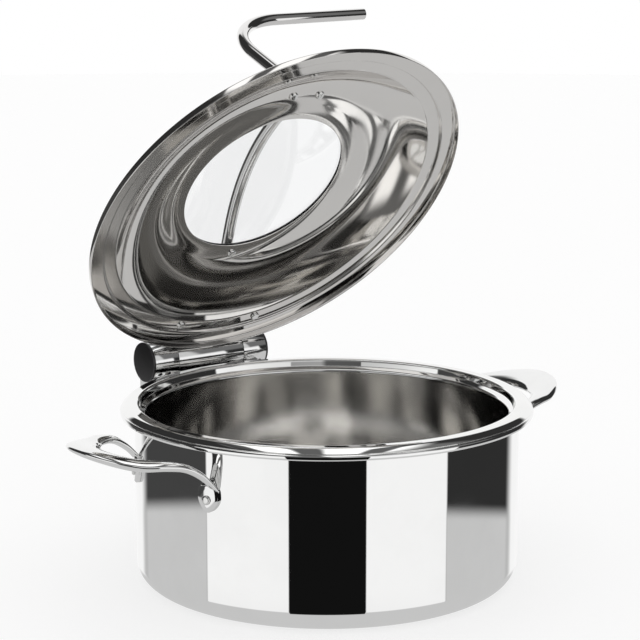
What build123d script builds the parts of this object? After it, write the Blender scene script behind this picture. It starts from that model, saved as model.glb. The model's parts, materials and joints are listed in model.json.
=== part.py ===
from build123d import *
import os
from math import cos, radians, sin

# Soup kettle: a straight-walled steel water pot with an insert pan resting in its rim, two riveted side
# handles, and a domed lid with a round window that swings on a damped barrel hinge at the back.
# The origin is the centre of the pot's underside, +Z is up, and the hinge is on the +Y side.

# Driving dimensions, in millimetres and degrees
POT_RADIUS = 170.0
POT_SHEET = 1.2
POT_CORNER = 18.0
RIM_RADIUS = 182.5
RIM_LEDGE_Z = 155.2
RIM_SKIRT_Z = 151.0
DISC_RADIUS = 138.0
DISC_THICKNESS = 5.0
INSERT_RADIUS = 161.0
INSERT_FLOOR_Z = 20.0
INSERT_CORNER = 18.0
INSERT_SHEET = 1.0
RIDGE_RADIUS = 168.5
RIDGE_Z = 160.0

LID_SHEET = 1.0
LID_SKIRT_RADIUS = 183.5
LID_EDGE_Z = 155.4
LID_FLANGE_Z = 160.8
LID_STEP_RADIUS = 168.5
LID_STEP_Z = 163.8
DOME_FOOT_RADIUS = 157.0
DOME_CORNER_RADIUS = 131.0
DOME_BEND = 85.0
DOME_TOP_Z = 187.0
WINDOW_HOLE_RADIUS = 80.0
GLASS_RADIUS = 83.5
GLASS_THICKNESS = 4.0
SEAL_LIP = 0.8
SEAL_RADIUS = 84.8

HINGE_Y = 206.2
HINGE_Z = 164.2
OPEN_ANGLE = 52.0
BARREL_RADIUS = 19.0
BARREL_END = 65.0
CAP_THICKNESS = 2.5
CENTRE_END = 36.5
KNUCKLE_GAP = 0.5
CARTRIDGE_RADIUS = 12.0
BUSH_RADIUS = 8.0
BUSH_LENGTH = 14.0
SHAFT_RADIUS = 5.0
SHAFT_IN_DAMPER = 12.0
SHAFT_END_GAP = 4.0
RUNNING_FIT = 0.05
SADDLE_THICKNESS = 3.5
SADDLE_WIDTH = 122.0
SADDLE_BOTTOM_Z = 102.0
SHELF_Z = 138.0
SHELF_THICKNESS = 6.0
SHELF_OVERHANG = 12.0
SHELF_CORNER = 6.0
KNUCKLE_BLOCK_DEPTH = 22.0
BRACKET_RIVET_ANGLE = 15.0
BRACKET_RIVET_HEIGHTS = (112.0, 128.0)
SET_SCREW_PLACES = (-56.0, -46.5, 46.5, 56.0)
SET_SCREW_ANGLE = 212.0
SET_SCREW_DEPTH = 0.6
SOCKET_RADIUS = 1.1
SOCKET_DEPTH = 2.2

BAR_RADIUS = 5.5
BAR_CORNERS = [(0, 97, 196.6), (0, -5, 233.5), (0, -105.5, 195), (0, -64, 335), (168, -68, 336)]
BAR_BENDS = [225, 9, 66]
POST_Y = 89.5
POST_RADIUS = 4.0
POST_HEIGHT = 12.0
FOOT_Y = -108.0
FOOT_PLATE = (40.0, 15.0)
FOOT_BOSS = (13.0, 26.0)
FOOT_START_Z = 180.0
FOOT_PLATE_RISE = 12.0
FOOT_BOSS_RISE = 24.0
FOOT_SCREW_X = 14.0
LEAF_THICKNESS = 4.0
LEAF_HALF_WIDTH = 54.0
LEAF_FRONT_Y = 148.0
LEAF_SHOULDER_Y = 168.0
LEAF_NECK_Y = 184.0
LEAF_SCREW_X = 41.5
LEAF_SCREW_Y = 157.5
REAR_SCREW_GRIP = 5.0
FRONT_SCREW_GRIP = 5.5
SCREW_RADIUS = 2.0
SCREW_HEAD_RADIUS = 4.2
SCREW_HEAD_HEIGHT = 2.2

LOOP_CENTRE = 166.0
GRIP_RADIUS = 256.0
GRIP_HALF_WIDTH = 67.0
FINGER_RADIUS = 221.0
FINGER_HALF_WIDTH = 55.0
ARM_TOP = [(150, 111), (163, 126), (172, 134.2), (185, 141.6), (201, 144.7), (220, 146)]
ARM_TOP += [(240, 150.5), (262, 156.5)]
ARM_UNDERSIDE = [(150, 101), (163, 116.5), (172, 125.6), (185, 133.2), (201, 136.3), (220, 137)]
ARM_UNDERSIDE += [(240, 141.5), (262, 149)]
PAD_ANGLE = 19.5
PAD_WIDTH = 20.0
PAD_POINT = 9.0
PAD_TIP = 6.0
PAD_THICKNESS = 4.5
PAD_BOTTOM_Z = 96.0
PAD_TOP_Z = 121.0
RIVET_Z = 107.0
RIVET_RADIUS = 2.5
RIVET_HEAD_RADIUS = 4.0
RIVET_HEAD_HEIGHT = 2.0

POT_INSIDE = POT_RADIUS - POT_SHEET
BEYOND = 200.0
DOME_SKIN_Z = DOME_TOP_Z + LID_SHEET

os.makedirs("parts", exist_ok=True)


def save(name, shapes):
    """Write one node, made of one solid or of several separate ones."""
    solids = shapes if isinstance(shapes, list) else [shapes]
    shape = solids[0] if len(solids) == 1 else Compound(children=solids)
    export_step(shape, f"parts/{name}.step")


def spun_sheet(path, thickness):
    """Spin a bent sheet about the pot's axis; the path is its lower face, drawn as radius and height."""
    section = make_face(offset(path, thickness, side=Side.LEFT).edges())
    return revolve(Plane.XZ * section, Axis.Z)


def on_lid(shape):
    """Swing a piece drawn with the lid closed up to the lid's resting place."""
    return shape.rotate(Axis((0, HINGE_Y, HINGE_Z), (1, 0, 0)), -OPEN_ANGLE)


def hinge_rod(radius, left, right):
    """A round piece on the hinge line, between two places along it."""
    return Plane(origin=(left, HINGE_Y, HINGE_Z), z_dir=(1, 0, 0)) * extrude(Circle(radius), right - left)


def rivet(angle, height, seat_radius):
    """A round-headed rivet through the pot's wall; the outer head sits at the given radius."""
    wall = Plane(origin=(0, 0, height), z_dir=(cos(radians(angle)), sin(radians(angle)), 0))
    inner_head = extrude(Circle(RIVET_HEAD_RADIUS), RIVET_HEAD_HEIGHT)
    inner_head = wall * Pos(0, 0, POT_INSIDE - RIVET_HEAD_HEIGHT) * inner_head
    shank = wall * Pos(0, 0, POT_INSIDE - 1) * extrude(Circle(RIVET_RADIUS), seat_radius - POT_INSIDE + 2)
    head = Pos(0, 0, seat_radius) * extrude(Circle(RIVET_HEAD_RADIUS), RIVET_HEAD_HEIGHT)
    head = fillet(head.edges().group_by(Axis.Z)[-1], RIVET_HEAD_HEIGHT * 0.8)
    return inner_head + shank + wall * head


def lid_screw(x, y, seat_z, grip):
    """A pan-head screw put in from inside the lid; its head sits under the shell at the given height."""
    head = Pos(x, y, seat_z - SCREW_HEAD_HEIGHT) * extrude(Circle(SCREW_HEAD_RADIUS), SCREW_HEAD_HEIGHT)
    head = fillet(head.edges().group_by(Axis.Z)[0], SCREW_HEAD_HEIGHT * 0.6)
    shank = Pos(x, y, seat_z - 1) * extrude(Circle(SCREW_RADIUS), grip + 1)
    return head + shank


# ---------------------------------------------------------------- pot and insert

def pot_shell():
    """Deep-drawn pot: rounded bottom edge, straight wall, flat ledge and turned-down skirt."""
    under_ledge = RIM_LEDGE_Z - POT_SHEET
    skirt = RIM_RADIUS - POT_SHEET
    corners = [(0, 0), (POT_RADIUS, 0), (POT_RADIUS, under_ledge)]
    corners += [(skirt, under_ledge), (skirt, RIM_SKIRT_Z)]
    return spun_sheet(FilletPolyline(corners, radius=[POT_CORNER, 1.0, 1.0]), POT_SHEET)


def induction_disc():
    """Magnetic disc bonded to the inside of the pot's floor, under the water."""
    disc = Pos(0, 0, POT_SHEET) * extrude(Circle(DISC_RADIUS), DISC_THICKNESS)
    return fillet(disc.edges().group_by(Axis.Z)[-1], 1.5)


def insert_pan():
    """Deep pan hung by its stepped flange: lip, ledge, raised ridge and a brim on the pot's ledge."""
    ridge_under = RIDGE_Z - INSERT_SHEET
    corners = [
        (0, INSERT_FLOOR_Z),
        (INSERT_RADIUS, INSERT_FLOOR_Z),
        (INSERT_RADIUS, 149.6),
        (RIDGE_RADIUS - 2.8, 152.6),
        (RIDGE_RADIUS - 1.4, ridge_under),
        (RIDGE_RADIUS + 7.5, ridge_under),
        (RIDGE_RADIUS + 11.8, RIM_LEDGE_Z),
    ]
    path = FilletPolyline(corners, radius=[INSERT_CORNER, 2.0, 1.6, 1.8, 5.0])
    return spun_sheet(path, INSERT_SHEET)


# ---------------------------------------------------------------- side handles

def side_handle():
    """Cast loop at the +X side: a broad grip, two arms round a finger opening, and two pads on the wall."""
    outer = Pos(LOOP_CENTRE, 0, 0) * Ellipse(GRIP_RADIUS - LOOP_CENTRE, GRIP_HALF_WIDTH)
    opening = Pos(LOOP_CENTRE, 0, 0) * Ellipse(FINGER_RADIUS - LOOP_CENTRE, FINGER_HALF_WIDTH)
    plan = Pos(0, 0, PAD_BOTTOM_Z) * extrude(outer - opening, BEYOND)
    top = Spline(*ARM_TOP)
    underside = Spline(*ARM_UNDERSIDE)
    ends = [Line(top @ 0, underside @ 0), Line(top @ 1, underside @ 1)]
    side = Plane.XZ * make_face([top, underside] + ends)
    loop = plan & extrude(side, BEYOND, both=True)
    loop = loop + [side_pad(angle) for angle in (-PAD_ANGLE, PAD_ANGLE)]
    return loop - extrude(Circle(POT_RADIUS), BEYOND)


def side_pad(angle):
    """Shield-shaped plate at the end of one arm, curved to the pot's wall."""
    outline = [
        (-PAD_WIDTH / 2, PAD_TOP_Z),
        (-PAD_WIDTH / 2, PAD_BOTTOM_Z + PAD_POINT),
        (-PAD_TIP / 2, PAD_BOTTOM_Z),
        (PAD_TIP / 2, PAD_BOTTOM_Z),
        (PAD_WIDTH / 2, PAD_BOTTOM_Z + PAD_POINT),
        (PAD_WIDTH / 2, PAD_TOP_Z),
    ]
    face = make_face(Polyline(outline, close=True))
    face = fillet(face.vertices(), 2.5)
    plate = Rot(0, 0, angle) * (Plane.YZ * extrude(face, BEYOND))
    ring = Circle(POT_RADIUS + PAD_THICKNESS) - Circle(POT_RADIUS)
    return plate & extrude(ring, BEYOND)


def side_handle_rivets():
    """One rivet through each of the four pads."""
    angles = [side + spread for side in (0, 180) for spread in (-PAD_ANGLE, PAD_ANGLE)]
    return [rivet(angle, RIVET_Z, POT_RADIUS + PAD_THICKNESS) for angle in angles]


# ---------------------------------------------------------------- hinge, pot side

def hinge_bracket():
    """Cast bracket: a saddle on the pot's wall, a shelf under the rim, and the two end knuckles."""
    saddle_ring = Circle(POT_RADIUS + SADDLE_THICKNESS) - Circle(POT_RADIUS)
    sector = Pos(0, POT_RADIUS, 0) * Rectangle(SADDLE_WIDTH, POT_RADIUS)
    saddle_height = SHELF_Z + SHELF_THICKNESS - SADDLE_BOTTOM_Z
    saddle = Pos(0, 0, SADDLE_BOTTOM_Z) * extrude(saddle_ring & sector, saddle_height)
    inner_end = BARREL_END - CAP_THICKNESS
    depth = HINGE_Y - POT_RADIUS + 2 * SHELF_OVERHANG
    deck = Pos(0, (POT_RADIUS + HINGE_Y) / 2, 0) * Rectangle(2 * inner_end, depth)
    shelf = Pos(0, 0, SHELF_Z) * extrude(deck - Circle(POT_RADIUS + 1), SHELF_THICKNESS)
    shelf = fillet(shelf.edges().filter_by(Axis.Z).group_by(Axis.Y)[-1], SHELF_CORNER)
    bracket = saddle + shelf
    length = inner_end - CENTRE_END - KNUCKLE_GAP
    for left in (-inner_end, CENTRE_END + KNUCKLE_GAP):
        on_shelf = (Align.MIN, Align.CENTER, Align.MIN)
        block = Box(length, KNUCKLE_BLOCK_DEPTH, HINGE_Z - SHELF_Z, align=on_shelf)
        bracket = bracket + Pos(left, HINGE_Y, SHELF_Z) * block
        bracket = bracket + hinge_rod(BARREL_RADIUS, left, left + length)
    bracket = bracket - hinge_rod(CARTRIDGE_RADIUS, -BARREL_END, BARREL_END)
    bracket = bracket - [set_screw_hole(x) for x in SET_SCREW_PLACES] - bracket_rivets()
    return bracket - extrude(Circle(POT_RADIUS), BEYOND)


def bracket_rivets():
    """Four rivets through the saddle and the pot's wall."""
    angles = (90 - BRACKET_RIVET_ANGLE, 90 + BRACKET_RIVET_ANGLE)
    return [rivet(angle, z, POT_RADIUS + SADDLE_THICKNESS) for angle in angles for z in BRACKET_RIVET_HEIGHTS]


def set_screw_plane(x):
    """The place where a set screw's hole breaks out of an end knuckle."""
    out = Vector(0, cos(radians(SET_SCREW_ANGLE)), sin(radians(SET_SCREW_ANGLE)))
    return Plane(origin=Vector(x, HINGE_Y, HINGE_Z) + out * BARREL_RADIUS, z_dir=out)


def set_screw_hole(x):
    """A hole through the knuckle's wall for one set screw."""
    wall = BARREL_RADIUS - CARTRIDGE_RADIUS
    return set_screw_plane(x) * Pos(0, 0, -wall) * extrude(Circle(SCREW_RADIUS), wall + 2)


def set_screws():
    """Socket set screws that clamp the damper cartridge and the pivot plug in the end knuckles."""
    length = BARREL_RADIUS - CARTRIDGE_RADIUS - SET_SCREW_DEPTH
    screw = Pos(0, 0, -length) * extrude(Circle(SCREW_RADIUS), length)
    screw = screw - Pos(0, 0, -SOCKET_DEPTH) * extrude(RegularPolygon(SOCKET_RADIUS, 6), SOCKET_DEPTH + 1)
    return [set_screw_plane(x) * Pos(0, 0, -SET_SCREW_DEPTH) * screw for x in SET_SCREW_PLACES]


def damper_cartridge():
    """Sealed damper that turns the shaft slowly; it fills the left end knuckle."""
    body = hinge_rod(CARTRIDGE_RADIUS, CAP_THICKNESS - BARREL_END, -CENTRE_END - KNUCKLE_GAP)
    return body - hinge_shaft()


def pivot_plug():
    """Plug in the right end knuckle that holds the shaft's other end."""
    body = hinge_rod(CARTRIDGE_RADIUS, CENTRE_END + KNUCKLE_GAP, BARREL_END - CAP_THICKNESS)
    return body - hinge_shaft()


def hinge_shaft():
    """Plain shaft from the damper through the lid's knuckle to the pivot plug."""
    right = BARREL_END - CAP_THICKNESS - SHAFT_END_GAP
    return hinge_rod(SHAFT_RADIUS, -CENTRE_END - SHAFT_IN_DAMPER, right)


def end_cap(side):
    """Flat disc that closes one end of the barrel."""
    inner = side * (BARREL_END - CAP_THICKNESS)
    cap = hinge_rod(BARREL_RADIUS, min(inner, side * BARREL_END), max(inner, side * BARREL_END))
    rims = cap.edges().filter_by(GeomType.CIRCLE).sort_by(Axis.X)
    outer_rim = rims[-1] if side > 0 else rims[0]
    return chamfer(outer_rim, 0.5)


# ---------------------------------------------------------------- lid

def dome_path():
    """The underside of the lid's sheet, from the window outwards."""
    corners = [
        (WINDOW_HOLE_RADIUS, DOME_TOP_Z),
        (DOME_CORNER_RADIUS, DOME_TOP_Z),
        (DOME_FOOT_RADIUS, LID_STEP_Z),
        (LID_STEP_RADIUS, LID_STEP_Z),
        (LID_STEP_RADIUS + 1, LID_FLANGE_Z),
        (LID_SKIRT_RADIUS - 0.2, LID_FLANGE_Z),
        (LID_SKIRT_RADIUS, LID_EDGE_Z),
    ]
    return FilletPolyline(corners, radius=[DOME_BEND, 2.5, 1.0, 1.6, 1.2])


def lid_shell():
    """Pressed lid: turned-down edge, flat flange, small step, dome, and a flat seat round the window."""
    return spun_sheet(dome_path(), LID_SHEET) - leaf_screws() - bar_screws()


def under_dome():
    """Everything below the lid's outer face, to cut the foot that sits on it."""
    path = dome_path()
    floor = 0
    below = Polyline(path @ 1, (LID_SKIRT_RADIUS, floor), (WINDOW_HOLE_RADIUS, floor), path @ 0)
    section = make_face(path.edges() + below.edges())
    return revolve(Plane.XZ * section, Axis.Z) + spun_sheet(path, LID_SHEET)


def window_seal():
    """Silicone U-ring round the glass, seated on the dome's flat."""
    height = GLASS_THICKNESS + 2 * SEAL_LIP
    inner = WINDOW_HOLE_RADIUS + 0.6
    ring = Pos(0, 0, DOME_SKIN_Z) * extrude(Circle(SEAL_RADIUS) - Circle(inner), height)
    return ring - window_glass()


def window_glass():
    """Flat round pane of toughened glass."""
    return Pos(0, 0, DOME_SKIN_Z + SEAL_LIP) * extrude(Circle(GLASS_RADIUS), GLASS_THICKNESS)


def lid_hinge_leaf():
    """Cast leaf on top of the lid with the barrel's centre knuckle."""
    plate_z = LID_STEP_Z + LID_SHEET
    right = [
        (LEAF_HALF_WIDTH, LEAF_FRONT_Y),
        (LEAF_HALF_WIDTH, LEAF_SHOULDER_Y),
        (CENTRE_END, LEAF_NECK_Y),
        (CENTRE_END, HINGE_Y),
    ]
    left = [(-x, y) for x, y in reversed(right)]
    face = make_face(Polyline(right + left, close=True)) - Circle(DOME_FOOT_RADIUS + 1.5)
    plate = Pos(0, 0, plate_z) * extrude(face, LEAF_THICKNESS)
    leaf = plate + hinge_rod(BARREL_RADIUS, -CENTRE_END, CENTRE_END)
    return leaf - hinge_rod(BUSH_RADIUS, -CENTRE_END, CENTRE_END) - leaf_screws()


def hinge_bushes():
    """Two plain bushes pressed into the ends of the lid's knuckle, running on the shaft."""
    places = ((-CENTRE_END, BUSH_LENGTH - CENTRE_END), (CENTRE_END - BUSH_LENGTH, CENTRE_END))
    return [hinge_rod(BUSH_RADIUS, a, b) - hinge_rod(SHAFT_RADIUS + RUNNING_FIT, a, b) for a, b in places]


def leaf_screws():
    """Two screws from inside the lid into the leaf."""
    return [lid_screw(x, LEAF_SCREW_Y, LID_STEP_Z, LEAF_THICKNESS) for x in (-LEAF_SCREW_X, LEAF_SCREW_X)]


def bar_screws():
    """One screw into the rear post and two into the front foot."""
    front_seat = DOME_TOP_Z - 0.6
    front = [lid_screw(x, FOOT_Y, front_seat, FRONT_SCREW_GRIP) for x in (-FOOT_SCREW_X, FOOT_SCREW_X)]
    return [lid_screw(0, POST_Y, DOME_TOP_Z, REAR_SCREW_GRIP)] + front


def lid_bar():
    """One bent round bar: an arch over the window, a sharp turn up, a leaning upright and a level grip."""
    path = FilletPolyline(BAR_CORNERS, radius=BAR_BENDS)
    return sweep(Plane(origin=path @ 0, z_dir=path % 0) * Circle(BAR_RADIUS), path=path)


def bar_post():
    """Short round post under the bar's rear end."""
    post = Pos(0, POST_Y, DOME_SKIN_Z) * extrude(Circle(POST_RADIUS), POST_HEIGHT)
    return post - lid_bar() - bar_screws()


def bar_foot():
    """Saddle under the bar's sharp turn: a low plate with a boss that the bar is welded into."""
    plate = Pos(0, FOOT_Y, FOOT_START_Z) * extrude(RectangleRounded(*FOOT_PLATE, 6), FOOT_PLATE_RISE)
    boss = Pos(0, FOOT_Y + 8, FOOT_START_Z) * extrude(RectangleRounded(*FOOT_BOSS, 5), FOOT_BOSS_RISE)
    foot = plate + boss
    return foot - under_dome() - lid_bar() - bar_screws()


# ---------------------------------------------------------------- assembly

pot = pot_shell() - side_handle_rivets() - bracket_rivets()
handle = side_handle() - side_handle_rivets()
save("outer_pot", pot)
save("induction_disc", induction_disc())
save("insert_pan", insert_pan())
save("right_side_handle", handle)
save("left_side_handle", mirror(handle, about=Plane.YZ))
save("side_handle_rivets", side_handle_rivets())
save("hinge_bracket", hinge_bracket())
save("bracket_rivets", bracket_rivets())
save("damper_cartridge", damper_cartridge())
save("pivot_plug", pivot_plug())
save("hinge_shaft", hinge_shaft())
save("left_end_cap", end_cap(-1))
save("right_end_cap", end_cap(1))
save("knuckle_set_screws", set_screws())

lid_pieces = {
    "lid_shell": lid_shell(),
    "window_seal": window_seal(),
    "window_glass": window_glass(),
    "lid_hinge_leaf": lid_hinge_leaf(),
    "hinge_bushes": hinge_bushes(),
    "leaf_screws": leaf_screws(),
    "lid_handle_bar": lid_bar(),
    "handle_rear_post": bar_post(),
    "handle_front_foot": bar_foot(),
    "lid_handle_screws": bar_screws(),
}
for name, piece in lid_pieces.items():
    pieces = piece if isinstance(piece, list) else [piece]
    save(name, [on_lid(solid) for solid in pieces])
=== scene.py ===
import bpy
import json
import math
from mathutils import Matrix, Vector


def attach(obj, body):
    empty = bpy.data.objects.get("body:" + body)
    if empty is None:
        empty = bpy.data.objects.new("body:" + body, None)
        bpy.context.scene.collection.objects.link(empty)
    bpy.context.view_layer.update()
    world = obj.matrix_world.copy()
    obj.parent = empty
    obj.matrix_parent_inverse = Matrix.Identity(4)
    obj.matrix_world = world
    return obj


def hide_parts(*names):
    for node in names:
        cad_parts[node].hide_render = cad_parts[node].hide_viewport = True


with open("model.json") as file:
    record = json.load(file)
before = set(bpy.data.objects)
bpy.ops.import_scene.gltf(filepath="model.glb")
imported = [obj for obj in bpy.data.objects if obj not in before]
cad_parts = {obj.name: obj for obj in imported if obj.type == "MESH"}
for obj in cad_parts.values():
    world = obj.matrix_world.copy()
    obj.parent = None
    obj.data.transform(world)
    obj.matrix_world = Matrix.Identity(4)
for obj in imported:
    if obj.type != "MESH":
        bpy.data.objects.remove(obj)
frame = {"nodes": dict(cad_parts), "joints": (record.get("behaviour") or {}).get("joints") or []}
bpy.ops.object.select_all(action="DESELECT")
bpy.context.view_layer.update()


# ---------------------------------------------------------------- camera
# The kettle is seen from its front left and a little above the rim, through a long lens, so that its sides
# stay nearly parallel.
CAMERA_DISTANCE = 1.801
CAMERA_HEIGHT = 0.5815
CAMERA_TURN = math.radians(35.86)
CAMERA_AIM_TURN = math.radians(35.67)
CAMERA_TILT = math.radians(11.03)
LENS_LENGTH = 117.3
SENSOR_WIDTH = 36
FAR_LIMIT = 30

camera = bpy.data.cameras.new("camera")
camera.lens = LENS_LENGTH
camera.sensor_width = SENSOR_WIDTH
camera.clip_end = FAR_LIMIT
camera_object = bpy.data.objects.new("camera", camera)
camera_object.location = (
    -CAMERA_DISTANCE * math.sin(CAMERA_TURN),
    -CAMERA_DISTANCE * math.cos(CAMERA_TURN),
    CAMERA_HEIGHT,
)
camera_object.rotation_euler = (math.radians(90) - CAMERA_TILT, 0, -CAMERA_AIM_TURN)
bpy.context.collection.objects.link(camera_object)
bpy.context.scene.camera = camera_object
bpy.context.scene.view_settings.view_transform = "Standard"


# ---------------------------------------------------------------- studio
# White walls stand round the kettle, with dark flags in front and at both sides, so that the polished steel
# shows hard black and white bands. Above the walls the room is dim, with one broad soft light ahead on the
# right and strips of light overhead. Bearings, heights and the widths of soft edges are in degrees.
WHITE_TONE = 0.96
FRONT_FLAG_HALF_WIDTH = 22.6
FRONT_FLAG_SHIFT = 0.5
FRONT_FLAG_BLUR = 0.8
FRONT_FLAG_TONE = 0.006
FRONT_FLAG_FOOT = -26.0
FRONT_FLAG_FOOT_BLUR = 2.4
SIDE_FLAG_START = 75.0
SIDE_FLAG_START_BLUR = 1.5
SIDE_FLAG_END = 140.0
SIDE_FLAG_END_BLUR = 14.0
SIDE_FLAG_FOOT_BLUR = 0.5
LEFT_FLAG_TONE = 0.055
LEFT_FLAG_FOOT = -16.05
RIGHT_FLAG_TONE = 0.028
RIGHT_FLAG_FOOT = -16.25
WALL_FOOT = -20.4
WALL_FOOT_BLUR = 4.4
FLOOR_TONE = 0.59
WALL_TOP = 12.0
WALL_TOP_BLUR = 9.0
BACK_START = 150.0
BACK_BLUR = 16.0
BACK_TOP = 44.0
ROOM_TONE = 0.16
DARK_LEFT = (-165.0, -45.0)
DARK_LEFT_BLUR = 24.0
DARK_LEFT_TONE = 0.03
DARK_RIGHT = (104.0, 165.0)
DARK_RIGHT_BLUR = 14.0
DARK_RIGHT_TONE = 0.03
BROAD_LIGHT = (2.0, 62.0)
BROAD_LIGHT_BLUR = 5.0
BROAD_LIGHT_HEIGHTS = (-90.0, 38.0)
BROAD_LIGHT_TOP_BLUR = 8.0
BROAD_LIGHT_TONE = 0.62
CEILING_START = 62.0
CEILING_BLUR = 12.0
STRIP_TONE = 1.3
STRIP_GAP_TONE = 0.12
STRIP_SPACING = 15.0
STRIP_EDGE = -0.25
STRIP_BLUR = 0.7
SEEN_TONE = 1.0
DIFFUSE_TONE = 0.9

studio = bpy.data.worlds.new("studio")
studio.use_nodes = True
bpy.context.scene.world = studio
studio_links = studio.node_tree.links
studio_nodes = studio.node_tree.nodes
studio_nodes.clear()


def studio_node(kind, values=(), **settings):
    """A node of the studio's backdrop, with its inputs given as sockets or as plain values."""
    node = studio_nodes.new(kind)
    for name, value in settings.items():
        setattr(node, name, value)
    for socket, value in zip(node.inputs, values):
        if isinstance(value, bpy.types.NodeSocket):
            studio_links.new(value, socket)
        elif value is not None:
            socket.default_value = value
    return node.outputs[0]


def studio_math(operation, *values):
    """The result of one sum on sockets or plain values."""
    return studio_node("ShaderNodeMath", values, operation=operation)


def soft_step(value, edge, blur):
    """0 below the edge and 1 above it, with a soft change of the given width."""
    if isinstance(edge, bpy.types.NodeSocket):
        value = studio_math("SUBTRACT", value, edge)
        edge = 0.0
    limits = (value, edge - blur / 2, edge + blur / 2, 0.0, 1.0)
    return studio_node("ShaderNodeMapRange", limits, interpolation_type="SMOOTHSTEP")


def between(value, limits, blur):
    """1 between the two limits and 0 outside them, with soft sides."""
    from_first = soft_step(value, limits[0], blur)
    return studio_math("SUBTRACT", from_first, soft_step(value, limits[1], blur))


def blend_tone(mask, low, high):
    """low where the mask is 0 and high where it is 1."""
    rest = studio_math("MULTIPLY", studio_math("SUBTRACT", 1.0, mask), low)
    return studio_math("ADD", rest, studio_math("MULTIPLY", mask, high))


direction = studio_node("ShaderNodeTexCoord")
split = studio_nodes.new("ShaderNodeSeparateXYZ")
studio_links.new(direction, split.inputs[0])
east, north, up = split.outputs
# the bearing runs from the camera's side of the kettle, positive towards the camera's right
towards = (-math.sin(CAMERA_TURN), -math.cos(CAMERA_TURN))
rightwards = (math.cos(CAMERA_TURN), -math.sin(CAMERA_TURN))
ahead, aside = (
    studio_math("ADD", studio_math("MULTIPLY", east, way[0]), studio_math("MULTIPLY", north, way[1]))
    for way in (towards, rightwards)
)
bearing = studio_math("DEGREES", studio_math("ARCTAN2", aside, ahead))
height = studio_math("DEGREES", studio_math("ARCSINE", up))
bearing_size = studio_math("ABSOLUTE", bearing)
to_the_right = soft_step(bearing, 0.0, 1.0)

# white walls with the flags in front of them
front_offset = studio_math("ABSOLUTE", studio_math("SUBTRACT", bearing, FRONT_FLAG_SHIFT))
past_front_flag = soft_step(front_offset, FRONT_FLAG_HALF_WIDTH, FRONT_FLAG_BLUR)
front_flag = studio_math("SUBTRACT", 1.0, past_front_flag)
from_side_flag = soft_step(bearing_size, SIDE_FLAG_START, SIDE_FLAG_START_BLUR)
past_side_flag = soft_step(bearing_size, SIDE_FLAG_END, SIDE_FLAG_END_BLUR)
side_flag = studio_math("SUBTRACT", from_side_flag, past_side_flag)
side_tone = blend_tone(to_the_right, LEFT_FLAG_TONE, RIGHT_FLAG_TONE)
tone = blend_tone(side_flag, WHITE_TONE, side_tone)
tone = blend_tone(front_flag, tone, FRONT_FLAG_TONE)

# the walls and flags end at the floor, which starts nearer below the side flags than below the front one
side_foot = blend_tone(to_the_right, LEFT_FLAG_FOOT, RIGHT_FLAG_FOOT)
above_side_foot = soft_step(height, side_foot, SIDE_FLAG_FOOT_BLUR)
above_front_foot = soft_step(height, FRONT_FLAG_FOOT, FRONT_FLAG_FOOT_BLUR)
above_floor = blend_tone(side_flag, soft_step(height, WALL_FOOT, WALL_FOOT_BLUR), above_side_foot)
above_floor = blend_tone(front_flag, above_floor, above_front_foot)
tone = blend_tone(above_floor, FLOOR_TONE, tone)

# the dim room above the walls, which stand highest at the back
room = blend_tone(between(bearing, DARK_LEFT, DARK_LEFT_BLUR), ROOM_TONE, DARK_LEFT_TONE)
room = blend_tone(between(bearing, DARK_RIGHT, DARK_RIGHT_BLUR), room, DARK_RIGHT_TONE)
broad_light = studio_math(
    "MULTIPLY",
    between(bearing, BROAD_LIGHT, BROAD_LIGHT_BLUR),
    between(height, BROAD_LIGHT_HEIGHTS, BROAD_LIGHT_TOP_BLUR),
)
room = blend_tone(broad_light, room, BROAD_LIGHT_TONE)
wall_top = blend_tone(soft_step(bearing_size, BACK_START, BACK_BLUR), WALL_TOP, BACK_TOP)
tone = blend_tone(soft_step(height, wall_top, WALL_TOP_BLUR), tone, room)

# straight strips of light overhead, with dark gaps between them
across_ceiling = studio_math("DIVIDE", aside, up)
strip_wave = studio_math("SINE", studio_math("MULTIPLY", across_ceiling, STRIP_SPACING))
ceiling_light = blend_tone(soft_step(strip_wave, STRIP_EDGE, STRIP_BLUR), STRIP_GAP_TONE, STRIP_TONE)
tone = blend_tone(soft_step(height, CEILING_START, CEILING_BLUR), tone, ceiling_light)

# what is seen past the kettle or through its window is plain white, and the diffuse light is even
ray = studio_nodes.new("ShaderNodeLightPath").outputs
straight = studio_math("MAXIMUM", ray["Is Camera Ray"], ray["Is Transmission Ray"])
tone = blend_tone(straight, tone, SEEN_TONE)
tone = blend_tone(ray["Is Diffuse Ray"], tone, DIFFUSE_TONE)
backdrop = studio_nodes.new("ShaderNodeBackground")
studio_links.new(tone, backdrop.inputs["Color"])
world_out = studio_nodes.new("ShaderNodeOutputWorld")
studio_links.new(backdrop.outputs[0], world_out.inputs["Surface"])

# the pale floor glows a little, so that only a soft shadow is left under the kettle
FLOOR_RADIUS = 6
FLOOR_DROP = 0.0004
FLOOR_GREY = 0.3
FLOOR_GLOW = 0.7
bpy.ops.mesh.primitive_circle_add(
    vertices=96, radius=FLOOR_RADIUS, fill_type="NGON", location=(0, 0, -FLOOR_DROP)
)
floor = bpy.context.object
floor.name = "floor"
floor.visible_glossy = False
floor_paint = bpy.data.materials.new("floor_paint")
floor_paint.use_nodes = True
floor_shader = floor_paint.node_tree.nodes["Principled BSDF"]
floor_shader.inputs["Base Color"].default_value = (FLOOR_GREY, FLOOR_GREY, FLOOR_GREY, 1)
floor_shader.inputs["Roughness"].default_value = 0.9
floor_shader.inputs["Emission Color"].default_value = (1, 1, 1, 1)
floor_shader.inputs["Emission Strength"].default_value = FLOOR_GLOW
floor.data.materials.append(floor_paint)


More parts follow.
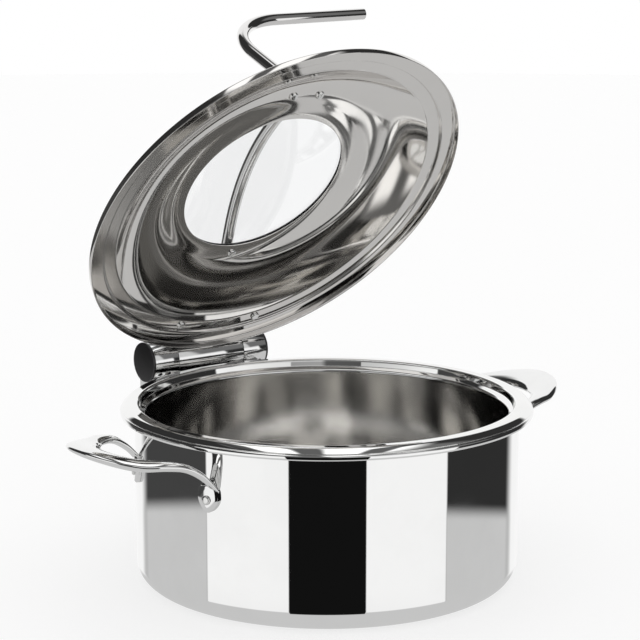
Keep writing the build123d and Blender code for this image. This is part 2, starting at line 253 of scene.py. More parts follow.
# ---------------------------------------------------------------- outer pot
# The water pot is deep-drawn from stainless sheet: a flat bottom with a rounded corner, a straight wall,
# and a rim turned out into a flat ledge and down into a short skirt. Its outside is polished like a mirror.
POT_RADIUS = 0.170
POT_SHEET = 0.0012
POT_CORNER = 0.018
RIM_RADIUS = 0.1825
RIM_LEDGE = 0.1552
RIM_SKIRT = 0.151
RIM_BEND = 0.001


def bent_face(corners, bends):
    """Radius and height of points along one face of a bent sheet, close together in its bends.
    A short straight stands at each side of a bend, so that the flats between bends stay flat."""
    points = [Vector(corners[0])]
    for place, bend in enumerate(bends, start=1):
        before, corner, after = (Vector(point) for point in corners[place - 1:place + 2])
        back = (before - corner).normalized()
        forth = (after - corner).normalized()
        angle = back.angle(forth)
        reach = bend / math.tan(angle / 2)
        centre = corner + (back + forth).normalized() * bend / math.sin(angle / 2)
        spoke = corner + back * reach - centre
        turn = math.pi - angle
        if back.x * forth.y - back.y * forth.x > 0:
            turn = -turn
        steps = max(6, math.ceil(math.degrees(abs(turn)) / 6))
        guard = min(0.0006, bend / 2)
        points.append(corner + back * (reach + guard))
        for step in range(steps + 1):
            around = Matrix.Rotation(turn * step / steps, 2)
            points.append(centre + around @ spoke)
        points.append(corner + forth * (reach + guard))
    points.append(Vector(corners[-1]))
    return points


def sheet_outline(face, thickness, from_axis=False):
    """The closed outline of a sheet: along one face, round its edge, and back along its left side."""
    other = []
    for place, point in enumerate(face):
        ahead_point = face[min(place + 1, len(face) - 1)]
        behind_point = face[max(place - 1, 0)]
        along = (ahead_point - behind_point).normalized()
        other.append(point + Vector((-along.y, along.x)) * thickness)

    def round_edge(start, end):
        middle = (start + end) / 2
        turns = [Matrix.Rotation(math.pi * step / 6, 2) for step in range(1, 6)]
        return [middle + turn @ (start - middle) for turn in turns]

    outline = face + round_edge(face[-1], other[-1]) + other[::-1]
    if not from_axis:
        outline = outline + round_edge(other[0], face[0]) + [face[0]]
    return outline


def spun_piece(name, outline, segments=240):
    """A piece turned about the pot's axis: a ring is pulled along the outline, one step at a time."""
    on_axis = outline[0].x == 0
    rings = outline[1:-1] if on_axis else outline
    if on_axis:
        rings = [Vector((0.01, outline[0].y))] + rings + [Vector((0.01, outline[-1].y))]
    fill = "TRIFAN" if on_axis else "NOTHING"
    bpy.ops.object.select_all(action="DESELECT")
    bpy.ops.mesh.primitive_circle_add(vertices=segments, radius=rings[0].x, fill_type=fill)
    piece = bpy.context.object
    piece.name = name
    piece.data.name = name
    bpy.ops.object.mode_set(mode="EDIT")
    bpy.ops.mesh.select_mode(type="EDGE")
    bpy.ops.mesh.select_all(action="SELECT")
    bpy.ops.transform.translate(value=(0, 0, rings[0].y))
    if on_axis:
        bpy.ops.mesh.region_to_loop()
    for here, there in zip(rings, rings[1:]):
        bpy.ops.mesh.extrude_edges_move(TRANSFORM_OT_translate={"value": (0, 0, there.y - here.y)})
        growth = there.x / here.x
        bpy.ops.transform.resize(value=(growth, growth, 1), center_override=(0, 0, there.y))
    if on_axis:
        bpy.ops.mesh.extrude_edges_move()
        bpy.ops.mesh.merge(type="CENTER")
    bpy.ops.mesh.select_all(action="SELECT")
    bpy.ops.mesh.remove_doubles(threshold=0.000005)
    bpy.ops.mesh.normals_make_consistent(inside=False)
    bpy.ops.object.mode_set(mode="OBJECT")
    bpy.ops.object.shade_smooth()
    return piece


def new_group(name, inputs, outputs):
    """An empty effect for several materials: inputs and outputs are (name, socket type, start value)."""
    group = bpy.data.node_groups.new(name, "ShaderNodeTree")
    for socket_name, kind, start in inputs:
        socket = group.interface.new_socket(socket_name, in_out="INPUT", socket_type=kind)
        if start is not None:
            socket.default_value = start
    for socket_name, kind in outputs:
        group.interface.new_socket(socket_name, in_out="OUTPUT", socket_type=kind)
    return group, group.nodes.new("NodeGroupInput"), group.nodes.new("NodeGroupOutput")


def add_node(tree, kind, links=None, **settings):
    """A node with its inputs linked to sockets or set to plain values, by input name or number."""
    node = tree.nodes.new(kind)
    for name, value in settings.items():
        setattr(node, name, value)
    for key, value in (links or {}).items():
        if isinstance(value, bpy.types.NodeSocket):
            tree.links.new(value, node.inputs[key])
        else:
            node.inputs[key].default_value = value
    return node


def add_math(tree, operation, *values):
    """The result of one sum in a material, on sockets or plain values."""
    return add_node(tree, "ShaderNodeMath", dict(enumerate(values)), operation=operation).outputs[0]


# Polished steel is never quite even: soft smudges from cloths and hands, and a faint swirl left by the mop.
POLISH, polish_in, polish_out = new_group(
    "polish_marks",
    [("Vector", "NodeSocketVector", None),
     ("Base", "NodeSocketColor", (0.9, 0.9, 0.9, 1)),
     ("Roughness", "NodeSocketFloat", 0.03),
     ("Smudge", "NodeSocketFloat", 0.02),
     ("Scale", "NodeSocketFloat", 14.0)],
    [("Color", "NodeSocketColor"), ("Roughness", "NodeSocketFloat"), ("Height", "NodeSocketFloat")],
)
smudges = add_node(
    POLISH, "ShaderNodeTexNoise",
    {"Vector": polish_in.outputs["Vector"], "Scale": polish_in.outputs["Scale"],
     "Detail": 4.0, "Roughness": 0.6},
)
smudge_amount = add_node(
    POLISH, "ShaderNodeMapRange", {"Value": smudges.outputs["Fac"], "From Min": 0.45, "From Max": 0.75}
)
smudge_rough = add_math(
    POLISH, "MULTIPLY_ADD",
    smudge_amount.outputs[0], polish_in.outputs["Smudge"], polish_in.outputs["Roughness"],
)
smudge_dim = add_node(
    POLISH, "ShaderNodeMapRange", {"Value": smudge_amount.outputs[0], "To Min": 1.0, "To Max": 0.96}
)
dimmed = add_node(
    POLISH, "ShaderNodeVectorMath",
    {0: polish_in.outputs["Base"], "Scale": smudge_dim.outputs[0]},
    operation="SCALE",
)
swirl_scale = add_math(POLISH, "MULTIPLY", polish_in.outputs["Scale"], 40.0)
swirl = add_node(
    POLISH, "ShaderNodeTexNoise",
    {"Vector": polish_in.outputs["Vector"], "Scale": swirl_scale,
     "Detail": 2.0, "Distortion": 1.5},
)
POLISH.links.new(dimmed.outputs[0], polish_out.inputs["Color"])
POLISH.links.new(smudge_rough, polish_out.inputs["Roughness"])
POLISH.links.new(swirl.outputs["Fac"], polish_out.inputs["Height"])


def polished_steel(name, colour, roughness, smudge, swirl_height, scale=14.0):
    """Bare polished steel with the polish marks put in at the given strength."""
    material = bpy.data.materials.new(name)
    material.use_nodes = True
    tree = material.node_tree
    shader = tree.nodes["Principled BSDF"]
    shader.inputs["Metallic"].default_value = 1
    place = add_node(tree, "ShaderNodeTexCoord")
    marks = tree.nodes.new("ShaderNodeGroup")
    marks.node_tree = POLISH
    tree.links.new(place.outputs["Object"], marks.inputs["Vector"])
    marks.inputs["Base"].default_value = (*colour, 1)
    marks.inputs["Roughness"].default_value = roughness
    marks.inputs["Smudge"].default_value = smudge
    marks.inputs["Scale"].default_value = scale
    bump = add_node(
        tree, "ShaderNodeBump",
        {"Strength": 1.0, "Distance": swirl_height, "Height": marks.outputs["Height"]},
    )
    tree.links.new(marks.outputs["Color"], shader.inputs["Base Color"])
    tree.links.new(marks.outputs["Roughness"], shader.inputs["Roughness"])
    tree.links.new(bump.outputs[0], shader.inputs["Normal"])
    return material


def dress(piece, material):
    """The piece's only material."""
    piece.data.materials.clear()
    piece.data.materials.append(material)


under_ledge = RIM_LEDGE - POT_SHEET
skirt_inside = RIM_RADIUS - POT_SHEET
pot_face = bent_face(
    [(0, 0), (POT_RADIUS, 0), (POT_RADIUS, under_ledge), (skirt_inside, under_ledge),
     (skirt_inside, RIM_SKIRT)],
    [POT_CORNER, RIM_BEND, RIM_BEND],
)
pot = spun_piece("outer_pot_shell", sheet_outline(pot_face, POT_SHEET, from_axis=True))
dress(pot, polished_steel("mirror_steel", (0.93, 0.93, 0.925), 0.012, 0.02, 0.0000004))
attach(pot, "base")
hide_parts("outer_pot")


# ---------------------------------------------------------------- magnetic disc
# A plain disc of magnetic stainless steel is bonded inside the pot's floor, so that an induction hob heats
# the water in the pot. The insert hides it.
def plain_part(node_name, material):
    """A CAD node that keeps its own shape and takes a material."""
    dress(frame["nodes"][node_name], material)


magnetic_steel = polished_steel("magnetic_steel", (0.45, 0.45, 0.44), 0.35, 0.2, 0.000004)
plain_part("induction_disc", magnetic_steel)


# ---------------------------------------------------------------- insert pan
# A deep pan for the soup hangs in the pot by its rim. Its inside is turned satin, with fine lines that run
# round the wall and the floor; its lip, ledge, ridge and brim are polished.
INSERT_RADIUS = 0.161
INSERT_FLOOR = 0.020
INSERT_CORNER = 0.018
INSERT_SHEET = 0.001
WALL_END = 0.1496
LEDGE_RADIUS = 0.1657
LEDGE_HEIGHT = 0.1526
RIDGE_INSIDE = 0.1671
RIDGE_OUTSIDE = 0.176
RIDGE_UNDERSIDE = 0.159
BRIM_RADIUS = 0.1803
INSERT_BENDS = [INSERT_CORNER, 0.002, 0.0016, 0.0018, 0.005]
SATIN_TOP = 0.1475
SATIN_EDGE = 0.0004

insert_face = bent_face(
    [(0, INSERT_FLOOR), (INSERT_RADIUS, INSERT_FLOOR), (INSERT_RADIUS, WALL_END),
     (LEDGE_RADIUS, LEDGE_HEIGHT), (RIDGE_INSIDE, RIDGE_UNDERSIDE), (RIDGE_OUTSIDE, RIDGE_UNDERSIDE),
     (BRIM_RADIUS, RIM_LEDGE)],
    INSERT_BENDS,
)
insert = spun_piece("insert_pan_shell", sheet_outline(insert_face, INSERT_SHEET, from_axis=True))

# turned lines: noise that changes with the distance from the axis and the height, and only slowly round it
TURNED, turned_in, turned_out = new_group(
    "turned_lines",
    [("Vector", "NodeSocketVector", None),
     ("Fineness", "NodeSocketFloat", 900.0),
     ("Base", "NodeSocketColor", (0.7, 0.7, 0.68, 1)),
     ("Contrast", "NodeSocketFloat", 0.15)],
    [("Color", "NodeSocketColor"), ("Height", "NodeSocketFloat")],
)
parts = add_node(TURNED, "ShaderNodeSeparateXYZ", {0: turned_in.outputs["Vector"]})
radial = add_node(TURNED, "ShaderNodeCombineXYZ", {0: parts.outputs[0], 1: parts.outputs[1]})
distance = add_node(TURNED, "ShaderNodeVectorMath", {0: radial.outputs[0]}, operation="LENGTH")
round_angle = add_math(TURNED, "ARCTAN2", parts.outputs[1], parts.outputs[0])
fine_radius = add_math(TURNED, "MULTIPLY", distance.outputs["Value"], turned_in.outputs["Fineness"])
fine_height = add_math(TURNED, "MULTIPLY", parts.outputs[2], turned_in.outputs["Fineness"])
slow_angle = add_math(TURNED, "MULTIPLY", round_angle, 3.0)
line_place = add_node(TURNED, "ShaderNodeCombineXYZ", {0: fine_radius, 1: slow_angle, 2: fine_height})
lines = add_node(
    TURNED, "ShaderNodeTexNoise",
    {"Vector": line_place.outputs[0], "Scale": 1.0, "Detail": 5.0, "Roughness": 0.7},
)
darkest_line = add_math(TURNED, "SUBTRACT", 1.0, turned_in.outputs["Contrast"])
line_shade = add_node(
    TURNED, "ShaderNodeMapRange",
    {"Value": lines.outputs["Fac"], "From Min": 0.3, "From Max": 0.7,
     "To Min": darkest_line, "To Max": 1.0},
)
lined = add_node(
    TURNED, "ShaderNodeVectorMath",
    {0: turned_in.outputs["Base"], "Scale": line_shade.outputs[0]},
    operation="SCALE",
)
TURNED.links.new(lined.outputs[0], turned_out.inputs["Color"])
TURNED.links.new(lines.outputs["Fac"], turned_out.inputs["Height"])

satin_steel = bpy.data.materials.new("satin_steel")
satin_steel.use_nodes = True
tree = satin_steel.node_tree
shader = tree.nodes["Principled BSDF"]
shader.inputs["Metallic"].default_value = 1
place = add_node(tree, "ShaderNodeTexCoord")
turned = add_node(tree, "ShaderNodeGroup", node_tree=TURNED)
tree.links.new(place.outputs["Object"], turned.inputs["Vector"])
turned.inputs["Base"].default_value = (0.93, 0.92, 0.9, 1)
turned.inputs["Contrast"].default_value = 0.12
marks = add_node(tree, "ShaderNodeGroup", node_tree=POLISH)
tree.links.new(place.outputs["Object"], marks.inputs["Vector"])
marks.inputs["Base"].default_value = (0.93, 0.93, 0.92, 1)
marks.inputs["Roughness"].default_value = 0.02
marks.inputs["Smudge"].default_value = 0.03
level = add_node(tree, "ShaderNodeSeparateXYZ", {0: place.outputs["Object"]})
polished_rim = add_node(
    tree, "ShaderNodeMapRange",
    {"Value": level.outputs[2], "From Min": SATIN_TOP - SATIN_EDGE, "From Max": SATIN_TOP + SATIN_EDGE},
)
colour_mix = add_node(tree, "ShaderNodeMix", data_type="RGBA")
tree.links.new(polished_rim.outputs[0], colour_mix.inputs[0])
tree.links.new(turned.outputs["Color"], colour_mix.inputs[6])
tree.links.new(marks.outputs["Color"], colour_mix.inputs[7])
tree.links.new(colour_mix.outputs[2], shader.inputs["Base Color"])
rough_mix = add_node(
    tree, "ShaderNodeMapRange",
    {"Value": polished_rim.outputs[0], "To Min": 0.09, "To Max": marks.outputs["Roughness"]},
)
tree.links.new(rough_mix.outputs[0], shader.inputs["Roughness"])
rest_of_wall = add_math(tree, "SUBTRACT", 1.0, polished_rim.outputs[0])
line_height = add_math(tree, "MULTIPLY", turned.outputs["Height"], rest_of_wall)
line_bump = add_node(tree, "ShaderNodeBump", {"Strength": 1.0, "Distance": 0.00002, "Height": line_height})
tree.links.new(line_bump.outputs[0], shader.inputs["Normal"])
dress(insert, satin_steel)
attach(insert, "base")
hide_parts("insert_pan")


# ---------------------------------------------------------------- side handles
# Each side handle is one stainless casting, polished all over: a broad lens-shaped grip that rises
# outwards, two arms that curve down to the wall, and a shield-shaped pad at the end of each arm.
LOOP_CENTRE = 0.166
GRIP_RADIUS = 0.2555
GRIP_HALF_WIDTH = 0.0665
FINGER_RADIUS = 0.221
FINGER_HALF_WIDTH = 0.0555
ARM_MIDLINE = [
    (0.150, 0.106), (0.163, 0.1213), (0.172, 0.1299), (0.185, 0.1374), (0.201, 0.1405), (0.220, 0.1415),
    (0.240, 0.146), (0.262, 0.1527),
]
ARM_HALF_THICKNESS = 0.0038
GRIP_HALF_THICKNESS = 0.0052
THICKENING_START = 0.190
THICKENING_LENGTH = 0.035
LOOP_CUT = 0.15
# the casting's section: share of the way from the outer edge to the finger gap, and rise over the midline
LOOP_SECTION = [
    (0.0, 0.0), (0.012, 0.2), (0.05, 0.42), (0.15, 0.68), (0.32, 0.92), (0.5, 1.0), (0.68, 0.92),
    (0.85, 0.7), (0.95, 0.45), (0.988, 0.2),
]
PAD_ANGLE = math.radians(19.5)
PAD_WIDTH = 0.020
PAD_HEIGHT = 0.025
PAD_MIDDLE = 0.1085
PAD_THICKNESS = 0.0044
PAD_WALL_SHARE = 0.6
PAD_STEPS = [(0.0012, 0.28), (0.0018, 0.09), (0.0022, 0.02)]
PAD_POINTING = 0.32
PAD_SPREAD = 0.3
WALL_GAP = 0.0004


def through(points, x):
    """Height at x of the smooth line through the points."""
    last = len(points) - 2
    span = max(place for place in range(last + 1) if place == 0 or points[place][0] <= x)
    (x0, z0), (x1, z1) = points[span], points[span + 1]
    before = points[max(span - 1, 0)]
    after = points[min(span + 2, len(points) - 1)]
    slope0 = (z1 - before[1]) / (x1 - before[0])
    slope1 = (after[1] - z0) / (after[0] - x0)
    width = x1 - x0
    share = min(max((x - x0) / width, 0), 1)
    rise = z0 * (1 + 2 * share) * (1 - share) ** 2 + z1 * share ** 2 * (3 - 2 * share)
    return rise + width * (slope0 * share * (1 - share) ** 2 - slope1 * share ** 2 * (1 - share))


bpy.ops.object.select_all(action="DESELECT")
bpy.ops.mesh.primitive_circle_add(vertices=200, radius=1, fill_type="NOTHING", location=(0, 0, 0))
loop = bpy.context.object
bpy.ops.object.mode_set(mode="EDIT")
bpy.ops.mesh.select_mode(type="EDGE")
bpy.ops.mesh.select_all(action="SELECT")
rings = LOOP_SECTION + [(1.0, 0.0)] + [(share, -rise) for share, rise in LOOP_SECTION[:0:-1]] + [(0.0, 0.0)]
long_here = GRIP_RADIUS - LOOP_CENTRE
wide_here = GRIP_HALF_WIDTH
bpy.ops.transform.resize(value=(long_here, wide_here, 1))
bpy.ops.transform.translate(value=(LOOP_CENTRE, 0, 0))
for (share, rise), (_, rise_before) in zip(rings[1:], rings):
    long_next = GRIP_RADIUS - LOOP_CENTRE + share * (FINGER_RADIUS - GRIP_RADIUS)
    wide_next = GRIP_HALF_WIDTH + share * (FINGER_HALF_WIDTH - GRIP_HALF_WIDTH)
    bpy.ops.mesh.extrude_edges_move(TRANSFORM_OT_translate={"value": (0, 0, rise - rise_before)})
    bpy.ops.transform.resize(
        value=(long_next / long_here, wide_next / wide_here, 1), center_override=(LOOP_CENTRE, 0, 0)
    )
    long_here, wide_here = long_next, wide_next
bpy.ops.mesh.select_all(action="SELECT")
bpy.ops.mesh.remove_doubles(threshold=0.000002)
bpy.ops.mesh.select_all(action="SELECT")
bpy.ops.mesh.bisect(plane_co=(LOOP_CUT, 0, 0), plane_no=(1, 0, 0), use_fill=True, clear_inner=True)
bpy.ops.mesh.select_all(action="SELECT")
bpy.ops.mesh.normals_make_consistent(inside=False)
bpy.ops.object.mode_set(mode="OBJECT")
for corner in loop.data.vertices:
    x, y, z = corner.co
    outwards = min(max((x - THICKENING_START) / THICKENING_LENGTH, 0), 1)
    half = ARM_HALF_THICKNESS + outwards * (GRIP_HALF_THICKNESS - ARM_HALF_THICKNESS)
    corner.co.z = through(ARM_MIDLINE, x) + z * half

bpy.ops.object.select_all(action="DESELECT")
bpy.ops.mesh.primitive_cylinder_add(vertices=256, radius=POT_RADIUS + WALL_GAP, depth=0.4)
wall = bpy.context.object
trim = loop.modifiers.new("trim", "BOOLEAN")
trim.operation = "DIFFERENCE"
trim.solver = "EXACT"
trim.object = wall
bpy.context.view_layer.objects.active = loop
bpy.ops.object.modifier_apply(modifier="trim")
bpy.data.objects.remove(wall)


def shield_pad(side):
    """One pad: an oval plate with a pointed lower end, a domed face and eased edges, bent to the wall."""
    bpy.ops.object.select_all(action="DESELECT")
    bpy.ops.mesh.primitive_circle_add(vertices=64, radius=1, fill_type="NGON", location=(0, 0, 0))
    pad = bpy.context.object
    bpy.ops.object.mode_set(mode="EDIT")
    bpy.ops.mesh.select_all(action="SELECT")
    bpy.ops.transform.resize(value=(PAD_WIDTH / 2, PAD_HEIGHT / 2, 1))
    straight_side = PAD_THICKNESS * PAD_WALL_SHARE
    bpy.ops.mesh.extrude_region_move(TRANSFORM_OT_translate={"value": (0, 0, straight_side)})
    for step_width, rise_share in PAD_STEPS:
        bpy.ops.mesh.inset(thickness=step_width, depth=PAD_THICKNESS * rise_share)
    bpy.ops.mesh.select_all(action="SELECT")
    bpy.ops.mesh.normals_make_consistent(inside=False)
    bpy.ops.object.mode_set(mode="OBJECT")
    for corner in pad.data.vertices:
        along, rise, out = corner.co
        lower = max(-rise / (PAD_HEIGHT / 2), 0)
        upper = max(rise / (PAD_HEIGHT / 2), 0)
        along = along * (1 - PAD_POINTING * lower ** 2 + PAD_SPREAD * upper ** 2)
        turn = side * PAD_ANGLE + along / POT_RADIUS
        reach = POT_RADIUS + 0.0001 + out
        corner.co = (reach * math.cos(turn), reach * math.sin(turn), PAD_MIDDLE + rise)
    return pad


pads = [shield_pad(-1), shield_pad(1)]
bpy.ops.object.select_all(action="DESELECT")
for part in pads + [loop]:
    part.select_set(True)
bpy.context.view_layer.objects.active = loop
bpy.ops.object.join()
bpy.ops.object.shade_smooth_by_angle(angle=math.radians(42))
loop.name = "side_handle_right_casting"

bpy.ops.object.select_all(action="DESELECT")
loop.select_set(True)
bpy.ops.object.duplicate()
left_loop = bpy.context.object
left_loop.name = "side_handle_left_casting"
bpy.ops.object.mode_set(mode="EDIT")
bpy.ops.mesh.select_all(action="SELECT")
bpy.ops.transform.resize(value=(-1, 1, 1), center_override=(0, 0, 0))
bpy.ops.mesh.flip_normals()
bpy.ops.object.mode_set(mode="OBJECT")

cast_steel = polished_steel("cast_steel", (0.9, 0.9, 0.895), 0.045, 0.05, 0.000003, scale=22.0)
for piece, node_name in ((loop, "right_side_handle"), (left_loop, "left_side_handle")):
    dress(piece, cast_steel)
    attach(piece, "base")
    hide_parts(node_name)


# ---------------------------------------------------------------- rivets
# Bright stainless rivets with low round heads hold the side handles, one through each pad, and four more
# hold the hinge bracket.
FLAT_WITHIN = math.radians(0.5)
SMOOTH_UNDER = math.radians(35)
SHARP_OVER = math.radians(40)


def eased_copy(node_name, edge, name):
    """A CAD node's shape with its triangles joined up and its sharp edges eased by the given width."""
    source = frame["nodes"][node_name]
    piece = bpy.data.objects.new(name, source.data.copy())
    bpy.context.collection.objects.link(piece)
    bpy.ops.object.select_all(action="DESELECT")
    piece.select_set(True)
    bpy.context.view_layer.objects.active = piece
    bpy.ops.object.mode_set(mode="EDIT")
    bpy.ops.mesh.select_all(action="SELECT")
    bpy.ops.mesh.remove_doubles(threshold=0.000004)
    bpy.ops.mesh.dissolve_limited(angle_limit=FLAT_WITHIN)
    bpy.ops.object.mode_set(mode="OBJECT")
    if edge:
        easing = piece.modifiers.new("easing", "BEVEL")
        easing.width = edge
        easing.segments = 3
        easing.limit_method = "ANGLE"
        easing.angle_limit = SHARP_OVER
        easing.harden_normals = False
        bpy.ops.object.modifier_apply(modifier="easing")
    bpy.ops.object.shade_smooth_by_angle(angle=SMOOTH_UNDER)
    return piece


def fit_copy(node_name, body, material, edge, name):
    """An eased copy that stands in for its CAD node, with its body and material."""
    piece = eased_copy(node_name, edge, name)
    dress(piece, material)
    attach(piece, body)
    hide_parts(node_name)
    return piece


fastener_steel = polished_steel("fastener_steel", (0.82, 0.82, 0.81), 0.08, 0.05, 0.000003, scale=60.0)
fit_copy("side_handle_rivets", "base", fastener_steel, 0.0, "handle_rivet_heads")
fit_copy("bracket_rivets", "base", fastener_steel, 0.0, "bracket_rivet_heads")


# ---------------------------------------------------------------- hinge, pot side
# A cast bracket is riveted to the wall behind the pot: a curved saddle, a shelf under the rim and two end
# knuckles. The damper fills the left knuckle, a plug the right one, and flat discs close both ends.
fit_copy("hinge_bracket", "base", cast_steel, 0.0005, "hinge_bracket_casting")

cap_steel = polished_steel("cap_steel", (0.09, 0.088, 0.09), 0.34, 0.12, 0.000004, scale=50.0)
fit_copy("left_end_cap", "base", cap_steel, 0.0004, "left_cap_disc")
fit_copy("right_end_cap", "base", cap_steel, 0.0004, "right_cap_disc")

set_screw_steel = polished_steel("set_screw_steel", (0.05, 0.05, 0.055), 0.35, 0.1, 0.000004, scale=80.0)
fit_copy("knuckle_set_screws", "base", set_screw_steel, 0.0, "set_screw_ends")

damper_steel = polished_steel("damper_steel", (0.5, 0.5, 0.5), 0.25, 0.1, 0.000004, scale=40.0)
for node_name in ("damper_cartridge", "pivot_plug", "hinge_shaft"):
    plain_part(node_name, damper_steel)


# ---------------------------------------------------------------- lid shell
# The lid is pressed from stainless sheet: an edge turned down, a flat flange, a small step, a dome and a
# flat seat with a round hole for the window. It is polished inside and out and stands open on the hinge.
# Its pieces are made closed, about the pot's axis, and then turned open with open_lid.
LID_SHEET = 0.001
LID_FLANGE = 0.1608
LID_STEP_RADIUS = 0.1685
LID_STEP = 0.1638
FLANGE_START = 0.1695
FLANGE_END = 0.1833
DOME_FOOT_RADIUS = 0.157
DOME_CORNER_RADIUS = 0.131
DOME_TOP = 0.187
WINDOW_HOLE_RADIUS = 0.080
LID_SKIRT_RADIUS = 0.1835
LID_EDGE = 0.1554
LID_BENDS = [0.085, 0.0025, 0.001, 0.0016, 0.0012]
hinge_place = Vector(frame["joints"][0]["pos_m"])
OPEN_ANGLE = math.radians(52)
swing = Matrix.Rotation(-OPEN_ANGLE, 4, "X")
open_lid = Matrix.Translation(hinge_place) @ swing @ Matrix.Translation(-hinge_place)

lid_face = bent_face(
    [(WINDOW_HOLE_RADIUS, DOME_TOP), (DOME_CORNER_RADIUS, DOME_TOP), (DOME_FOOT_RADIUS, LID_STEP),
     (LID_STEP_RADIUS, LID_STEP), (FLANGE_START, LID_FLANGE), (FLANGE_END, LID_FLANGE),
     (LID_SKIRT_RADIUS, LID_EDGE)],
    LID_BENDS,
)
lid = spun_piece("lid_pressing", sheet_outline(lid_face, LID_SHEET))
lid.data.transform(open_lid)
# The lid's steel is the pot's steel made darker and browner: this is painted shade and a painted brownish
# reflection that dim the lid's reflections.
lid_steel_painted_shade = polished_steel("lid_steel_painted_shade", (0.79, 0.775, 0.755), 0.045, 0.05, 0.000002, scale=9.0)
dress(lid, lid_steel_painted_shade)
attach(lid, "lid")
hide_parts("lid_shell")


# ---------------------------------------------------------------- window
# A round pane of clear toughened glass sits in a thin silicone ring on the dome's flat seat. The ring laps
# both faces of the pane and stands a little back from the hole.
GLASS_RADIUS = 0.0835
GLASS_THICKNESS = 0.004
SEAL_LIP = 0.0008
SEAL_RADIUS = 0.0848
SEAT = DOME_TOP + LID_SHEET
SEAL_SETBACK = 0.0006
EASE = 0.0004
ROUND_UNDER = math.radians(30)

pane_low = SEAT + SEAL_LIP
pane_high = pane_low + GLASS_THICKNESS
pane_outline = [
    Vector((0, pane_low)), Vector((GLASS_RADIUS - 3 * EASE, pane_low)),
    Vector((GLASS_RADIUS - EASE, pane_low)), Vector((GLASS_RADIUS, pane_low + EASE)),
    Vector((GLASS_RADIUS, pane_high - EASE)), Vector((GLASS_RADIUS - EASE, pane_high)),
    Vector((GLASS_RADIUS - 3 * EASE, pane_high)), Vector((0, pane_high)),
]
pane = spun_piece("window_pane", pane_outline, segments=160)
pane.data.transform(open_lid)
bpy.ops.object.shade_smooth_by_angle(angle=ROUND_UNDER)
clear_glass = bpy.data.materials.new("clear_glass")
clear_glass.use_nodes = True
tree = clear_glass.node_tree
shader = tree.nodes["Principled BSDF"]
shader.inputs["Transmission Weight"].default_value = 1
shader.inputs["IOR"].default_value = 1.46
shader.inputs["Base Color"].default_value = (0.965, 0.97, 0.975, 1)
place = add_node(tree, "ShaderNodeTexCoord")
film = add_node(
    tree, "ShaderNodeTexNoise", {"Vector": place.outputs["Object"], "Scale": 25.0, "Detail": 3.0}
)
film_rough = add_node(
    tree, "ShaderNodeMapRange",
    {"Value": film.outputs["Fac"], "From Min": 0.55, "From Max": 0.8, "To Max": 0.012},
)
tree.links.new(film_rough.outputs[0], shader.inputs["Roughness"])
dress(pane, clear_glass)
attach(pane, "lid")
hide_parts("window_glass")

seal_inside = WINDOW_HOLE_RADIUS + SEAL_SETBACK
seal_top = SEAT + GLASS_THICKNESS + 2 * SEAL_LIP
seal_outline = [
    Vector((GLASS_RADIUS, pane_low)), Vector((seal_inside, pane_low)), Vector((seal_inside, SEAT)),
    Vector((SEAL_RADIUS - EASE, SEAT)), Vector((SEAL_RADIUS, SEAT + EASE)),
    Vector((SEAL_RADIUS, seal_top - EASE)), Vector((SEAL_RADIUS - EASE, seal_top)),
    Vector((seal_inside + EASE, seal_top)), Vector((seal_inside, seal_top - EASE / 2)),
    Vector((seal_inside, pane_high)), Vector((GLASS_RADIUS, pane_high)), Vector((GLASS_RADIUS, pane_low)),
]
seal = spun_piece("window_gasket", seal_outline, segments=160)
seal.data.transform(open_lid)
bpy.ops.object.shade_smooth_by_angle(angle=ROUND_UNDER)
silicone = bpy.data.materials.new("silicone")
silicone.use_nodes = True
tree = silicone.node_tree
shader = tree.nodes["Principled BSDF"]
place = add_node(tree, "ShaderNodeTexCoord")
bloom = add_node(
    tree, "ShaderNodeTexNoise", {"Vector": place.outputs["Object"], "Scale": 60.0, "Detail": 4.0}
)
bloom_tint = add_node(tree, "ShaderNodeValToRGB", {0: bloom.outputs["Fac"]})
bloom_tint.color_ramp.elements[0].color = (0.05, 0.05, 0.052, 1)
bloom_tint.color_ramp.elements[1].color = (0.09, 0.09, 0.092, 1)
tree.links.new(bloom_tint.outputs[0], shader.inputs["Base Color"])
bloom_rough = add_node(
    tree, "ShaderNodeMapRange", {"Value": bloom.outputs["Fac"], "To Min": 0.4, "To Max": 0.6}
)
tree.links.new(bloom_rough.outputs[0], shader.inputs["Roughness"])
dress(seal, silicone)
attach(seal, "lid")
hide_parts("window_seal")


# ---------------------------------------------------------------- lid leaf
# A cast leaf with the barrel's centre knuckle sits on the lid's flange; two screws from inside the lid hold
# it, and two bronze bushes in its bore run on the hinge shaft.
fit_copy("lid_hinge_leaf", "lid", cast_steel, 0.0005, "lid_leaf_casting")
fit_copy("leaf_screws", "lid", fastener_steel, 0.0, "leaf_screw_heads")

bush_bronze = polished_steel("bush_bronze", (0.62, 0.45, 0.25), 0.3, 0.1, 0.000004, scale=60.0)
plain_part("hinge_bushes", bush_bronze)


# ---------------------------------------------------------------- lid handle
# One round stainless bar makes the lid's handle: an arch over the window, a sharp turn up at the front, a
# leaning upright, and a grip to the right. A post holds its rear end and a welded foot its sharp turn.
BAR_RADIUS = 0.0055
BAR_END_ROUNDING = 0.0012
BAR_BENDS = [0.225, 0.009, 0.066]
BEND_STEPS = 24
bar_corners = [
    Vector((0, 0.097, 0.1966)), Vector((0, -0.005, 0.2335)), Vector((0, -0.1055, 0.195)),
    Vector((0, -0.064, 0.335)), Vector((0.168, -0.068, 0.336)),
]

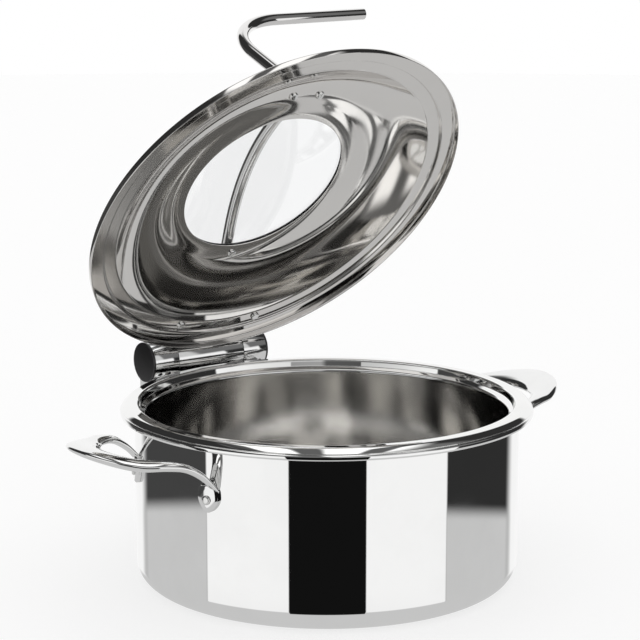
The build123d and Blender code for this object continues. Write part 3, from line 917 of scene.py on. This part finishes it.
bar_points = [bar_corners[0]]
for place_in_bar, bend in enumerate(BAR_BENDS, start=1):
    corner = bar_corners[place_in_bar]
    back = (bar_corners[place_in_bar - 1] - corner).normalized()
    forth = (bar_corners[place_in_bar + 1] - corner).normalized()
    angle = back.angle(forth)
    reach = bend / math.tan(angle / 2)
    centre = corner + (back + forth).normalized() * bend / math.sin(angle / 2)
    spoke = corner + back * reach - centre
    hinge_line = spoke.cross(corner + forth * reach - centre).normalized()
    for step in range(BEND_STEPS + 1):
        turned_so_far = (math.pi - angle) * step / BEND_STEPS
        bar_points.append(centre + Matrix.Rotation(turned_so_far, 3, hinge_line) @ spoke)
bar_points.append(bar_corners[-1])

bar_line = bpy.data.curves.new("lid_bar_line", "CURVE")
bar_line.dimensions = "3D"
bar_line.bevel_depth = BAR_RADIUS
bar_line.bevel_resolution = 10
bar_line.use_fill_caps = True
run = bar_line.splines.new("POLY")
run.points.add(len(bar_points) - 1)
for point, target in zip(run.points, bar_points):
    point.co = (*target, 1)
bar = bpy.data.objects.new("lid_bar", bar_line)
bpy.context.collection.objects.link(bar)
bpy.ops.object.select_all(action="DESELECT")
bar.select_set(True)
bpy.context.view_layer.objects.active = bar
bpy.ops.object.convert(target="MESH")
bar = bpy.context.object
bpy.ops.object.mode_set(mode="EDIT")
bpy.ops.mesh.select_all(action="SELECT")
bpy.ops.mesh.remove_doubles(threshold=0.00001)
bpy.ops.mesh.normals_make_consistent(inside=False)
bpy.ops.object.mode_set(mode="OBJECT")
rounding = bar.modifiers.new("rounding", "BEVEL")
rounding.width = BAR_END_ROUNDING
rounding.segments = 4
rounding.limit_method = "ANGLE"
rounding.angle_limit = math.radians(60)
bpy.ops.object.modifier_apply(modifier="rounding")
bpy.ops.object.shade_smooth_by_angle(angle=math.radians(40))
bar.data.transform(open_lid)
bar_steel = polished_steel("bar_steel", (0.86, 0.85, 0.84), 0.05, 0.05, 0.000003, scale=30.0)
dress(bar, bar_steel)
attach(bar, "lid")
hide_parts("lid_handle_bar")

fit_copy("handle_rear_post", "lid", bar_steel, 0.0, "bar_post")
fit_copy("handle_front_foot", "lid", bar_steel, 0.0006, "bar_foot")
fit_copy("lid_handle_screws", "lid", fastener_steel, 0.0, "handle_screw_heads")
